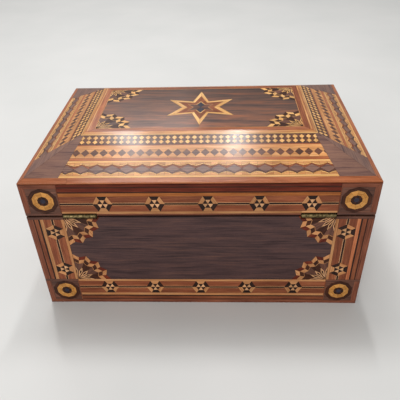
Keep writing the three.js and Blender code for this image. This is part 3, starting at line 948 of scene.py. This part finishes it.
@dataclass(frozen=True)
class Side:
    """One upright side of the box."""

    name: str
    along: Vector                 # to the right of someone who faces the side
    ends: tuple[str, str]         # the neighbouring sides at the low and the high end

    @property
    def outward(self) -> Vector:
        """The way that the side faces."""
        return self.along.cross(UP)

    @property
    def is_long(self) -> bool:
        """Whether this is one of the two long sides."""
        return abs(self.along.x) > 0.5

    @property
    def skip(self) -> float:
        """What the neighbouring skins take from each end of this side."""
        return 0.0 if self.is_long else CORNER

    def end(self, sign: int) -> str:
        """The side round the corner at the low end (-1) or the high end (1)."""
        return self.ends[0 if sign < 0 else 1]

    def extent(self, node: str, direction: Vector) -> Point:
        """Lowest and highest reach of a CAD node in a direction, in millimetres."""
        reach = sorted(corner.dot(direction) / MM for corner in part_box(node))
        return reach[0], reach[1]

    def middle(self) -> float:
        """Where the side's middle lies along it."""
        return sum(self.extent(f"case_foot_band_{self.name}", self.along)) / 2

    def span(self, node: str) -> tuple[float, float, float, float]:
        """A node's u range from the side's middle, then its v range from the ground."""
        low, high = self.extent(node, self.along)
        middle = self.middle()
        return (low - middle, high - middle, *self.extent(node, UP))

    def corner(self, sign: int) -> Place:
        """Places (across from the box's upright edge at one end, height) as points on the face."""
        edge = self.span(f"case_foot_band_{self.name}")[1]
        return lambda across, height: (sign * (edge + self.skip - across), height)

    def wear_upright(self, sheet: Mosaic, sign: int, v0: float, v1: float) -> None:
        """Round the box's upright edge between two heights, where a sheet reaches it."""
        if self.is_long:
            edge = self.corner(sign)(0.0, 0.0)[0]
            sheet.wear((edge, v0), (edge, v1))

    def even_stars(self) -> list[float]:
        """Places of a band's stars, evenly spaced about the middle."""
        count = 5 if self.is_long else 3
        return [STAR_PITCH * (number - (count - 1) / 2) for number in range(count)]

    def face(self) -> Face:
        """The side's outer plane, with its origin at the foot of its middle."""
        depth = self.extent(f"case_foot_band_{self.name}", self.outward)[1]
        return Face((self.along * self.middle() + self.outward * depth) * MM, self.along, UP)


SIDES = (
    Side("back", Vector((1.0, 0.0, 0.0)), ("left", "right")),
    Side("right", Vector((0.0, 1.0, 0.0)), ("back", "front")),
    Side("front", Vector((-1.0, 0.0, 0.0)), ("right", "left")),
    Side("left", Vector((0.0, -1.0, 0.0)), ("front", "back")),
)


@dataclass
class CaseSide:
    """The inlaid skin of one side of the case: panel, pillars and foot band."""

    side: Side
    pillar_stars: tuple[float, float] = (40.3, 80.0)   # heights from the ground
    cap: float = 2.3                                    # cross strip on top of a pillar
    foot_trim: float = 0.5                              # what the foot band's outer strip is narrower

    def build_panel(self) -> None:
        """The rosewood field and its four fans."""
        node = f"case_panel_{self.side.name}"
        u0, u1, v0, v1 = self.side.span(node)
        fans = panel_fans((u0, v0), (u1, v1), SIDE_FANS, light_past_spoke=False)
        field_sheet = Mosaic(f"panel_field_{self.side.name}")
        outline: list[Point] = []
        for number, fan in enumerate(fans):
            rim = fan.rim()
            outline += rim[::-1] if number % 2 == 0 else rim
        field_sheet.lay(outline, Wood.ROSEWOOD)
        field_sheet.build(self.side.face(), "case", "rosewood", [node])
        fan_sheet = Mosaic(f"panel_fans_{self.side.name}")
        for fan in fans:
            fan.lay(fan_sheet)
        cut_for_hinges(fan_sheet, self.side)
        fan_sheet.build(self.side.face(), "case", "light_inlay", [node])

    def build_pillar(self, sign: int) -> None:
        """The upright banding at one end, with the cross strip that caps it."""
        end = self.side.end(sign)
        node = f"case_pillar_{self.side.name}_{end}"
        v0, v1 = self.side.extent(node, UP)
        corner = self.side.corner(sign)
        skip = self.side.skip
        strips = list(PILLAR_STRIPS)
        if sign > 0:
            # the light strip at the high end is of a redder wood
            strips[OUTER_LIGHT] = Strip(strips[OUTER_LIGHT].width, Wood.FADED_PADAUK)
        sheet = Mosaic(f"pillar_{self.side.name}_{end}")
        banding = Banding(strips, lambda along, across: corner(max(across, skip), along), 90.0,
                          180.0 if sign > 0 else 0.0, self.pillar_stars)
        banding.lay(sheet, v0, v1 - self.cap)
        sheet.lay([corner(skip, v1 - self.cap), corner(UPRIGHT, v1 - self.cap), corner(UPRIGHT, v1),
                   corner(skip, v1)], Wood.PURPLEHEART)
        self.side.wear_upright(sheet, sign, v0, v1)
        sheet.build(self.side.face(), "case", "red_wood", [node])

    def build_foot_band(self) -> None:
        """The band round the foot with a roundel block at each end."""
        node = f"case_foot_band_{self.side.name}"
        u0, u1, v0, v1 = self.side.span(node)
        half = self.side.span(f"case_panel_{self.side.name}")[1] + JOINT
        sheet = Mosaic(f"foot_band_{self.side.name}")
        strips = [Strip(PILLAR_STRIPS[0].width - self.foot_trim, Wood.MAHOGANY), *PILLAR_STRIPS[1:]]
        Banding(strips, lambda along, across: (along, across), 0.0, 90.0,
                self.side.even_stars()).lay(sheet, -half, half)
        for sign in (-1, 1):
            build_block(sheet, self.side.corner(sign), self.side.skip, v0, v1, edge_down=True)
            self.side.wear_upright(sheet, sign, v0, v1)
        sheet.wear((u0, v0), (u1, v0))
        sheet.build(self.side.face(), "case", "red_wood", [node])

    def build(self) -> None:
        """Build the whole side."""
        self.build_panel()
        for sign in (-1, 1):
            self.build_pillar(sign)
        self.build_foot_band()


def cut_for_hinges(sheet: Mosaic, side: Side) -> None:
    """Let the hinge barrels into the rear skins, with room round them, in mm."""
    if side.name != "back":
        return
    room, end_room = 0.9, 0.1
    for hand in ("left", "right"):
        u0, u1, v0, v1 = side.span(f"hinge_{hand}_pin")
        knuckles = side.extent(f"hinge_{hand}_case_leaf", side.outward)[1]
        radius = knuckles - side.extent(f"hinge_{hand}_pin", side.outward)[1] + (v1 - v0) / 2
        middle = (v0 + v1) / 2
        sheet.notch((u0 - end_room, middle - radius - room), (u1 + end_room, middle + radius + room))


def build_block(sheet: Mosaic, corner: Place, skip: float, v0: float, v1: float,
                edge_down: bool) -> None:
    """A corner block: two mitred edge strips, a roundel and a thin light line towards the band.

    Args:
        sheet: the sheet of inlay.
        corner: places (across from the box's upright edge, height) on the face.
        skip: the part of the block that the neighbouring skin covers.
        v0: its low edge.
        v1: its high edge.
        edge_down: whether the edge strip runs along the low edge, as at the foot, or along the high one.
    """
    upright, level, line, purple = 4.8, 3.6, 0.6, 2.1       # widths of the strips round the roundel, mm
    outer_v, inner_v = (v0, v1) if edge_down else (v1, v0)
    step = 1 if edge_down else -1
    inner_line = inner_v - step * purple
    mitre_v = outer_v + step * level
    skip_v = outer_v + step * level * skip / upright
    near_line = UPRIGHT - line
    strips = (
        ([(skip, skip_v), (upright, mitre_v), (upright, inner_line), (skip, inner_line)], Wood.MAHOGANY, 90),
        ([(skip, outer_v), (skip, skip_v), (upright, mitre_v), (UPRIGHT, mitre_v), (UPRIGHT, outer_v)],
         Wood.MAHOGANY, 0),
        ([(skip, inner_line), (UPRIGHT, inner_line), (UPRIGHT, inner_v), (skip, inner_v)],
         Wood.PURPLEHEART, 0),
        ([(near_line, mitre_v), (UPRIGHT, mitre_v), (UPRIGHT, inner_line), (near_line, inner_line)],
         Wood.PADAUK, 90),
    )
    for outline, wood, grain in strips:
        sheet.lay([corner(*point) for point in outline], wood, grain)
    a, b = corner(upright, mitre_v), corner(near_line, inner_line)
    low = (min(a[0], b[0]), min(a[1], b[1]))
    high = (max(a[0], b[0]), max(a[1], b[1]))
    Roundel(((low[0] + high[0]) / 2, (low[1] + high[1]) / 2)).lay(sheet, low, high)


# the stars over the hinges stand a little unevenly, mm from the middle
BACK_STARS = (-72.1, -32.5, 7.7, 46.2, 85.2)


@dataclass
class LidSide:
    """The inlaid band on one upright side of the lid, and the corner blocks beside it."""

    side: Side

    def strips(self, height: float) -> list[Strip]:
        """The band's strips from its top edge down to the seam, for a band of this height."""
        below = (Strip(0.9, Wood.WALNUT), Strip(3.5, Wood.BLOODWOOD), Strip(1.1, Wood.WALNUT),
                 Strip(3.0, Wood.CHERRY), *PILLAR_STRIPS[CHANNEL], Strip(2.3, Wood.PEARWOOD))
        seam = Strip(2.1, Wood.MAHOGANY)
        used = sum(strip.width for strip in below) + seam.width
        # the top strip, under the eaves, is of bloodwood, the darkest red: partly its own colour, partly
        # painted shade from the overhanging slope
        return [Strip(height - used, Wood.BLOODWOOD), *below, seam]

    def build_band(self) -> None:
        """The band between the corner blocks."""
        node = f"lid_band_{self.side.name}"
        u0, u1, v0, v1 = self.side.span(node)
        *strips, seam = self.strips(self.side.extent("lid_band_front", UP)[1] - seam_height())
        strips.append(Strip(seam.width - (v0 - seam_height()), seam.wood))
        stars = BACK_STARS if self.side.name == "back" else self.side.even_stars()
        sheet = Mosaic(node)
        Banding(strips, lambda along, across: (along, v1 - across), 0.0, 270.0, stars).lay(sheet, u0, u1)
        cut_for_hinges(sheet, self.side)
        sheet.build(self.side.face(), "lid", "red_wood", [node])

    def build_corner(self, sign: int) -> None:
        """The half of a corner block that lies on this side."""
        end = self.side.end(sign)
        pair = (self.side.name, end) if self.side.is_long else (end, self.side.name)
        node = "lid_corner_{}_{}".format(*pair)
        v0, v1 = self.side.extent(f"lid_band_{self.side.name}", UP)
        sheet = Mosaic(f"lid_block_{self.side.name}_{end}")
        build_block(sheet, self.side.corner(sign), self.side.skip, v0, v1, edge_down=False)
        self.side.wear_upright(sheet, sign, v0, v1)
        sheet.build(self.side.face(), "lid", "walnut", [node])

    def build(self) -> None:
        """Build the band and both blocks."""
        self.build_band()
        for sign in (-1, 1):
            self.build_corner(sign)


def seam_height() -> float:
    """Height of the lid's underside, mm."""
    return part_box("lid_rail_front")[0].z / MM


# ---------------------------------------------------------------- the roof of the lid


@dataclass(frozen=True)
class ScallopRow:
    """A row of light scallops beside the chain of dark diamonds; heights are on the slope's layout."""

    towards: int                  # 1 when they point up the slope, -1 when they point down
    root: float
    valley: float
    peak: float
    shade: Wood                   # of the pieces between the scallops and the chain


@dataclass(frozen=True)
class Starts:
    """How far the motifs nearest the middle of a slope stand from it, mm."""

    zigzag: float = 0.0
    diamonds: float = 0.0
    beads: float = 0.0


ROOF_STARTS = {"back": Starts(-1.2, -1.3, 2.4), "right": Starts(-0.7, 1.4, 0.9), "front": Starts(),
               "left": Starts(4.1, -2.2, 2.5)}


@dataclass
class RoofSlope:
    """The parquetry of one slope of the roof.

    Bands of light and dark pieces lie between a plain edge strip at the eaves and a light one at the
    ridge.  They stop on a slant, and a dark field fills the corner between them and the hip.  Heights
    are drawn on a layout 50.4 mm long, which is then fitted to the real slope.
    """

    side: Side
    starts: Starts
    length: float = 50.4
    edge: float = 4.9             # top of the strip at the eaves
    dark_low: float = 20.5        # the dark strip between the zigzag and the diamonds
    diamond_low: float = 23.3
    diamond_middle: float = 28.2
    diamond_high: float = 31.8
    thin_low: float = 35.1        # the thin strip under the beads
    bead_low: float = 35.9
    bead_rows: tuple[float, float] = (39.0, 43.2)
    band_top: float = 46.1
    ridge_lines: tuple[float, float] = (47.2, 49.6)
    edge_joint: float = 0.72      # where the eaves strip is jointed, as a share of its half length
    slant_start: float = 30.5     # from the corner of the eaves to the band's end, at the edge strip
    slant: float = 0.32
    zigzag_pitch: float = 11.45
    diamond_pitch: float = 7.09
    diamond: tuple[float, float] = (3.3, 3.4)       # half its width, half its height
    bead_pitch: float = 5.17
    bead: float = 2.1             # half its width and height
    scallops: tuple[ScallopRow, ScallopRow] = (ScallopRow(1, 6.7, 7.9, 10.2, Wood.PURPLEHEART),
                                               ScallopRow(-1, 19.0, 17.5, 15.4, Wood.PADAUK))
    shoulder: tuple[float, float] = (0.55, 0.38)    # of a scallop: share of its half width, of its height
    scallop_line: float = 0.75    # width of its light outline
    chain_middle: float = 12.8
    chain_gap: float = 1.2        # between a valley and the diamond's tip in it
    shade_grain: float = 27.0
    eaves_half: float = field(init=False)
    ridge_half: float = field(init=False)
    real_length: float = field(init=False)
    face: Face = field(init=False)

    def __post_init__(self) -> None:
        """Read the slope's size from its CAD node."""
        node = f"lid_inlay_{self.side.name}"
        corners = [vertex.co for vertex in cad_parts[node].data.vertices]
        outward, along = self.side.outward, self.side.along
        depth = max(corner.dot(outward) for corner in corners)
        eaves = max(corner.z for corner in corners if corner.dot(outward) > depth - JOINT * MM)
        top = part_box("lid_inlay_top")
        ridge = max(corner.dot(outward) for corner in top)
        rise = top[1].z - eaves
        run = depth - ridge
        middle = self.side.middle()
        self.eaves_half = self.side.extent(node, along)[1] - middle
        self.ridge_half = max(corner.dot(along) for corner in top) / MM - middle
        self.real_length = math.hypot(run, rise) / MM
        self.face = Face(along * (middle * MM) + outward * depth + UP * eaves, along,
                         (UP * rise - outward * run).normalized())

    def hip(self, v: float) -> float:
        """Half the slope's length at a height on the layout."""
        return self.eaves_half + (self.ridge_half - self.eaves_half) * v / self.length

    def band_half(self, v: float) -> float:
        """Half the length of the patterned bands at a height on the layout."""
        return self.eaves_half - self.slant_start - self.slant * (v - self.edge)

    def lay_fitted(self, sheet: Mosaic, outline: Iterable[Point], wood: Wood, grain: float = 0.0) -> None:
        """Lay a piece with the layout's heights fitted to the real slope."""
        fit = self.real_length / self.length
        sheet.lay([(u, v * fit) for u, v in outline], wood, grain)

    def lay(self, sheet: Mosaic, outline: Iterable[Point], wood: Wood, grain: float = 0.0) -> None:
        """Lay a piece of a band, trimmed to the bands' slanted ends."""
        low, high = self.edge, self.band_top
        points = clip(list(outline), (self.band_half(low), low), (self.band_half(high), high))
        points = clip(points, (-self.band_half(high), high), (-self.band_half(low), low))
        self.lay_fitted(sheet, points, wood, grain)

    def strip(self, sheet: Mosaic, v0: float, v1: float, wood: Wood) -> None:
        """A patterned band's plain strip."""
        half = self.eaves_half
        self.lay(sheet, [(-half, v0), (half, v0), (half, v1), (-half, v1)], wood)

    def steps(self, pitch: float, start: float) -> list[float]:
        """Places of a repeating motif along the slope, enough to pass both ends."""
        count = int(self.eaves_half / pitch) + 1
        return [pitch * number + start for number in range(-count, count + 1)]

    def lay_edges(self, sheet: Mosaic) -> None:
        """The edge strip at the eaves, the strips at the ridge and the dark corner fields."""
        joint = self.edge_joint * self.eaves_half
        low, high = self.hip(0.0), self.hip(self.edge)
        for outline in ([(-low, 0), (-joint, 0), (-joint, self.edge), (-high, self.edge)],
                        [(-joint, 0), (low, 0), (high, self.edge), (-joint, self.edge)]):
            self.lay_fitted(sheet, outline, Wood.FADED_PADAUK)
        levels = (self.band_top, *self.ridge_lines, self.length)
        for v0, v1, wood in zip(levels, levels[1:], (Wood.MAPLE, Wood.SATINWOOD, Wood.FADED_PADAUK)):
            a, b = self.hip(v0), self.hip(v1)
            self.lay_fitted(sheet, [(-a, v0), (a, v0), (b, v1), (-b, v1)], wood)
        v0, v1 = self.edge, self.band_top
        for sign in (-1, 1):
            self.lay_fitted(sheet, [(sign * self.hip(v0), v0), (sign * self.band_half(v0), v0),
                                    (sign * self.band_half(v1), v1), (sign * self.hip(v1), v1)],
                            Wood.PLUM_ROSEWOOD)

    def lay_scallop(self, sheet: Mosaic, row: ScallopRow, u: float, sign: int) -> None:
        """Half a scallop with its light outline, and the dark piece between it and the chain."""
        out, drop = self.shoulder
        half = self.zigzag_pitch / 2
        valley_u = u + sign * half
        thick = row.towards * self.scallop_line
        arch = [(u, row.peak), (u + sign * out * half, row.peak + drop * (row.valley - row.peak)),
                (valley_u, row.valley)]
        under = [(point[0], point[1] - thick) for point in arch]
        self.lay(sheet, [(u, row.root), *under, (valley_u, row.root)], Wood.SATINWOOD)
        self.lay(sheet, [*arch, *under[::-1]], Wood.MAPLE)
        self.lay(sheet, [*arch, (valley_u, row.valley + row.towards * self.chain_gap),
                         (u, self.chain_middle)], row.shade, sign * row.towards * self.shade_grain)

    def lay_zigzag(self, sheet: Mosaic) -> None:
        """Light scallops above and below a chain of dark diamonds, between two light strips."""
        low_row, high_row = self.scallops
        middle = self.chain_middle
        half = self.zigzag_pitch / 2
        self.strip(sheet, self.edge, low_row.root, Wood.MAPLE)
        for u in self.steps(self.zigzag_pitch, self.starts.zigzag):
            for row in self.scallops:
                for sign in (-1, 1):
                    self.lay_scallop(sheet, row, u, sign)
            centre = u + half
            self.lay(sheet, [(centre - half, middle), (centre, low_row.valley + self.chain_gap),
                             (centre + half, middle), (centre, high_row.valley - self.chain_gap)],
                     Wood.PLUM_ROSEWOOD)
        self.strip(sheet, high_row.root, self.dark_low, Wood.MAPLE)

    def lay_diamonds(self, sheet: Mosaic) -> None:
        """Dark diamonds on a light ground, between a dark strip and a plain light one."""
        self.strip(sheet, self.dark_low, self.diamond_low, Wood.FADED_PADAUK)
        wide, tall = self.diamond
        middle = self.diamond_middle
        for u in self.steps(self.diamond_pitch, self.starts.diamonds):
            self.lay(sheet, [(u - wide, middle), (u, middle - tall), (u + wide, middle),
                             (u, middle + tall)], Wood.PURPLEHEART)
            after = u + self.diamond_pitch
            for level, tip in ((self.diamond_low, middle - tall), (self.diamond_high, middle + tall)):
                self.lay(sheet, [(u, level), (after, level), (after, tip), (after - wide, middle),
                                 (u + wide, middle), (u, tip)], Wood.SATINWOOD)
        self.strip(sheet, self.diamond_high, self.thin_low, Wood.SATINWOOD)
        self.strip(sheet, self.thin_low, self.bead_low, Wood.FADED_PADAUK)

    def lay_beads(self, sheet: Mosaic) -> None:
        """Two rows of small light diamonds, nearly point to point, on a dark ground."""
        bead = self.bead
        for u in self.steps(self.bead_pitch, self.starts.beads):
            for row in self.bead_rows:
                self.lay(sheet, [(u - bead, row), (u, row - bead), (u + bead, row), (u, row + bead)],
                         Wood.MAPLE, 90)
            after = u + self.bead_pitch
            right = [(u, self.bead_low)]
            left = [(after, self.bead_low)]
            for row in self.bead_rows:
                right += [(u, row - bead), (u + bead, row), (u, row + bead)]
                left += [(after, row - bead), (after - bead, row), (after, row + bead)]
            right.append((u, self.band_top))
            left.append((after, self.band_top))
            # the ground between two columns is cut at the beads' widest and narrowest
            for number in range(len(right) - 1):
                self.lay(sheet, [right[number], left[number], left[number + 1], right[number + 1]],
                         Wood.PURPLEHEART, 90)

    def build(self) -> None:
        """Build the slope as four sheets: edges and fields, and three patterned bands."""
        parts = ((self.lay_edges, "slope_edges", "red_wood"),
                 (self.lay_zigzag, "slope_zigzag", "light_inlay"),
                 (self.lay_diamonds, "slope_diamonds", "light_inlay"),
                 (self.lay_beads, "slope_beads", "light_inlay"))
        for lay, name, slot in parts:
            sheet = Mosaic(f"{name}_{self.side.name}")
            sheet.wear((-self.eaves_half, 0.0), (self.eaves_half, 0.0))
            lay(sheet)
            sheet.build(self.face, "lid", slot, [f"lid_inlay_{self.side.name}"])


@dataclass
class RoofTop:
    """The flat top: a mitred border, a dark field with four fans, and a six-pointed star."""

    edge_light: float = 1.5
    border: float = 4.2
    line: float = 0.6
    star_centre: Point = (0.5, -1.0)
    tips: tuple[float, float] = (33.6, 32.4)          # outer radius of the upright and the slanted points
    inner_tips: tuple[float, float] = (23.4, 23.0)
    crotches: tuple[float, float] = (13.7, 16.0)      # beside the upright points, and at the sides
    inner_crotches: tuple[float, float] = (10.6, 11.3)
    core_tips: tuple[float, float] = (12.4, 13.3)
    core_side: float = 6.8        # radius at which neighbouring lozenges touch
    core_lean: int = 6            # degrees that the upright lozenges gain on each side
    core_line: float = 0.13       # width of the lozenges' light outline, as a share of their size

    def _contour(self, tips: tuple[float, float], crotches: tuple[float, float]) -> list[Point]:
        """The star's twelve corners from its upper tip, anticlockwise."""
        points = []
        for number in range(6):
            upright = number % 3 == 0
            points.append(polar(self.star_centre, tips[0 if upright else 1], 90 + 60 * number))
            at_side = number % 3 == 1
            angle = 120 + 60 * number
            points.append(polar(self.star_centre, crotches[1 if at_side else 0], angle))
        return points

    def lay_border(self, sheet: Mosaic, half_u: float, half_v: float) -> Point:
        """Lay the border and return the field's half sizes."""
        for sign in (-1, 1):
            sheet.lay([(sign * half_u, -half_v), (sign * half_u, half_v),
                       (sign * (half_u - self.edge_light), half_v),
                       (sign * (half_u - self.edge_light), -half_v)], Wood.SATINWOOD, 90)
        outer = (half_u - self.edge_light, half_v)
        # the border's halves on the back and the left are of the lighter padauk: painted sheen, where the
        # varnish catches the lamps; those on the front and the right are plain padauk
        for width, sheen_lit_wood, plain_wood in ((self.border, Wood.FADED_PADAUK, Wood.PADAUK),
                                   (self.line, Wood.SATINWOOD, Wood.SATINWOOD)):
            inner = (outer[0] - width, outer[1] - width)
            for sign, wood in ((-1, sheen_lit_wood), (1, plain_wood)):
                sheet.lay([(-outer[0], sign * outer[1]), (outer[0], sign * outer[1]),
                           (inner[0], sign * inner[1]), (-inner[0], sign * inner[1])], wood, 0)
                sheet.lay([(sign * outer[0], -outer[1]), (sign * outer[0], outer[1]),
                           (sign * inner[0], inner[1]), (sign * inner[0], -inner[1])], wood, 90)
            outer = inner
        return outer

    def lay_field(self, sheet: Mosaic, fans: Sequence[Fan], half: Point) -> None:
        """The field in two halves that meet above and below the star."""
        star = self._contour(self.tips, self.crotches)
        middle = self.star_centre[0]
        left_side = star[:7]                       # from the upper tip round the left to the lower tip
        right_side = [star[0], *star[:5:-1]]
        upper, lower = half[1], -half[1]
        left = [(middle, upper), *fans[3].rim(), *fans[0].rim()[::-1], (middle, lower), *left_side[::-1]]
        right = [(middle, upper), *fans[2].rim(), *fans[1].rim()[::-1], (middle, lower), *right_side[::-1]]
        for outline in (left, right):
            sheet.lay(outline, Wood.FADED_ROSEWOOD)

    def lay_star(self, sheet: Mosaic) -> None:
        """The outline of light strips, the red ground inside it and the six lozenges."""
        outer = self._contour(self.tips, self.crotches)
        inner = self._contour(self.inner_tips, self.inner_crotches)
        for number in range(12):
            after = (number + 1) % 12
            a, b = outer[number], outer[after]
            lean = math.degrees(math.atan2(b[1] - a[1], b[0] - a[0]))
            sheet.lay([a, b, inner[after], inner[number]], Wood.MAPLE, lean)
        centre = self.star_centre
        # where neighbouring lozenges touch; the upright ones are a little the wider
        joints = [polar(centre, self.core_side, 120 + 60 * number + lean * self.core_lean)
                  for number, lean in enumerate((1, 0, -1, 1, 0, -1))]
        core_tips = [polar(centre, self.core_tips[0 if number % 3 == 0 else 1], 90 + 60 * number)
                     for number in range(6)]

        def inwards(point: Point) -> Point:
            """A point drawn in towards the middle by the outline's share."""
            return (point[0] + self.core_line * (centre[0] - point[0]),
                    point[1] + self.core_line * (centre[1] - point[1]))

        for number in range(6):
            angle = 90 + 60 * number
            upright = number % 3 == 0
            tip = core_tips[number]
            sides = joints[number - 1], joints[number]
            sheet.lay([centre, inwards(sides[0]), inwards(tip), inwards(sides[1])],
                      Wood.GREYWOOD if upright else Wood.PURPLEHEART, angle)
            for side in sides:
                sheet.lay([side, tip, inwards(tip), inwards(side)],
                          Wood.MAPLE if upright else Wood.PEARWOOD, angle)
            sheet.lay([inner[2 * number], tip, joints[number], core_tips[(number + 1) % 6],
                       inner[(2 * number + 2) % 12], inner[2 * number + 1]], Wood.PADAUK, angle + 30)

    def build(self) -> None:
        """Build the top as a border, a field, fans and a star."""
        low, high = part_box("lid_inlay_top")
        middle = (low + high) / 2
        half_u, half_v = (high.x - low.x) / 2 / MM, (high.y - low.y) / 2 / MM
        face = Face(Vector((middle.x, middle.y, high.z)), Vector((1.0, 0.0, 0.0)), Vector((0.0, 1.0, 0.0)))
        border = Mosaic("top_border")
        half = self.lay_border(border, half_u, half_v)
        fans = panel_fans((-half[0], -half[1]), half, TOP_FANS, light_past_spoke=True)
        field_sheet = Mosaic("top_field")
        self.lay_field(field_sheet, fans, half)
        fan_sheet = Mosaic("top_fans")
        for fan in fans:
            fan.lay(fan_sheet)
        star = Mosaic("top_star")
        self.lay_star(star)
        sheets = ((border, "red_wood"), (field_sheet, "rosewood"), (fan_sheet, "light_inlay"),
                  (star, "light_inlay"))
        for sheet, slot in sheets:
            sheet.build(face, "lid", slot, ["lid_inlay_top"])


# ---------------------------------------------------------------- carcass and hinges


def build_carcass(arris: float = 0.35) -> None:
    """Dress the plain boards under the inlay, which are kept from the CAD."""
    for name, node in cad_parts.items():
        if name.startswith(("case_wall", "case_base", "lid_rail", "lid_slope", "lid_top")):
            across = name.endswith(("_left", "_right"))
            grain = BoardGrain.ALONG_Y if across else BoardGrain.ALONG_X
            dress(node, SHELF.get(grain.finish()), arris)


def build_hinges(arris: float = 0.12) -> None:
    """Dress the two brass butt hinges with their pins and screws, which are kept from the CAD."""
    for name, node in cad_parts.items():
        if name.startswith("hinge"):
            dress(node, SHELF.get(AgedBrass()), arris)


def dress(node: bpy.types.Object, material: bpy.types.Material, arris: float) -> None:
    """Give a CAD node its finish and ease its arrises.

    Args:
        node: the CAD node's object.
        material: its finish.
        arris: width of the eased arris, mm.
    """
    same_point, sharp = 0.001 * MM, math.radians(40)
    node.data.materials.clear()
    node.data.materials.append(material)
    weld = node.modifiers.new("weld", "WELD")
    weld.merge_threshold = same_point
    ease = node.modifiers.new("ease", "BEVEL")
    ease.width = arris * MM
    ease.segments = 2
    ease.limit_method = "ANGLE"
    ease.angle_limit = sharp
    ease.use_clamp_overlap = True
    LOG.info("%s: dressed in %s", node.name, material.name)


# ---------------------------------------------------------------- studio


@dataclass(frozen=True)
class Lamp:
    """A soft rectangular lamp that faces the box."""

    name: str
    place: tuple[float, float, float]       # its middle, metres
    size: tuple[float, float]               # width and length, metres
    power: float                            # watts
    target: tuple[float, float, float] = (0.0, 0.0, 0.1)

    def hang(self) -> None:
        """Add the lamp to the scene."""
        data = bpy.data.lights.new(self.name, "AREA")
        data.shape = "RECTANGLE"
        data.size, data.size_y = self.size
        data.energy = self.power
        lamp = bpy.data.objects.new(self.name, data)
        lamp.location = self.place
        towards = Vector(self.target) - Vector(self.place)
        lamp.rotation_euler = towards.to_track_quat("-Z", "Y").to_euler()
        bpy.context.scene.collection.objects.link(lamp)


# one broad lamp overhead, two narrow ones that glint in the varnish, one behind and one in front
LAMPS = (
    Lamp("overhead", (-0.15, 0.27, 1.34), (0.6, 0.26), 4.2),
    Lamp("glint_left", (-0.345, 0.44, 1.32), (0.045, 0.26), 3.3),
    Lamp("glint_middle", (0.085, 0.44, 1.32), (0.03, 0.28), 3.2),
    Lamp("back_left", (-0.5, 1.5, 1.15), (0.9, 0.4), 5.5),
    Lamp("front_fill", (-0.2, -1.5, 0.7), (1.2, 0.8), 12.0),
)


@dataclass
class Studio:
    """A pale floor and surround, soft light, and a camera that sees the hinged side from above."""

    lens: float = 42.555          # mm on the sensor below
    sensor: float = 36.0
    camera_place: tuple[float, float, float] = (17.11, -376.61, 316.36)    # mm
    pitch: float = 35.540         # degrees below level
    yaw: float = -3.038
    roll: float = 2.042
    nearest: float = 0.01         # metres before the camera that it starts to see
    floor_half: float = 6.0       # metres
    surround: float = 0.45        # strength of the surround's own light

    def build_camera(self) -> None:
        """Stand the camera."""
        data = bpy.data.cameras.new("camera")
        data.lens = self.lens
        data.sensor_width = self.sensor
        data.clip_start = self.nearest
        camera = bpy.data.objects.new("camera", data)
        turn = (Matrix.Rotation(-math.radians(self.yaw), 4, "Z")
                @ Matrix.Rotation(math.radians(90 - self.pitch), 4, "X")
                @ Matrix.Rotation(-math.radians(self.roll), 4, "Z"))
        camera.matrix_world = Matrix.Translation(Vector(self.camera_place) * MM) @ turn
        bpy.context.scene.collection.objects.link(camera)
        bpy.context.scene.camera = camera

    def build_floor(self) -> None:
        """A wide pale floor under the box."""
        bm = bmesh.new()
        bmesh.ops.create_grid(bm, x_segments=1, y_segments=1, size=self.floor_half)
        mesh = bpy.data.meshes.new("floor")
        bm.to_mesh(mesh)
        bm.free()
        floor = bpy.data.objects.new("floor", mesh)
        floor.location.z = CAD_BOX[0].z
        bpy.context.scene.collection.objects.link(floor)
        pen = Shading("floor")
        mottle = pen.noise(pen.object_place(), 3.0, scale=6.0).outputs["Fac"]
        colour = pen.ramp(mottle, (0.3, linear("d4d4d2")), (0.7, linear("dbdad8")))
        mesh.materials.append(pen.finish({"Base Color": colour, "Roughness": 0.8}))

    def build_light(self) -> None:
        """A pale surround and the lamps."""
        world = bpy.data.worlds.new("surround")
        world.use_nodes = True
        sky = world.node_tree.nodes["Background"].inputs
        sky["Color"].default_value = linear("f4f4f2")
        sky["Strength"].default_value = self.surround
        bpy.context.scene.world = world
        bpy.context.scene.view_settings.view_transform = "Standard"
        for lamp in LAMPS:
            lamp.hang()

    def build(self) -> None:
        """Build the whole studio."""
        self.build_camera()
        self.build_floor()
        self.build_light()


def main() -> None:
    """Build the box in order: studio, boards, hinges, case, lid."""
    logging.basicConfig(level=logging.INFO, format="%(message)s")
    Studio().build()
    build_carcass()
    build_hinges()
    for side in SIDES:
        CaseSide(side).build()
    for side in SIDES:
        LidSide(side).build()
        RoofSlope(side, ROOF_STARTS[side.name]).build()
    RoofTop().build()


if __name__ == "__main__":
    main()
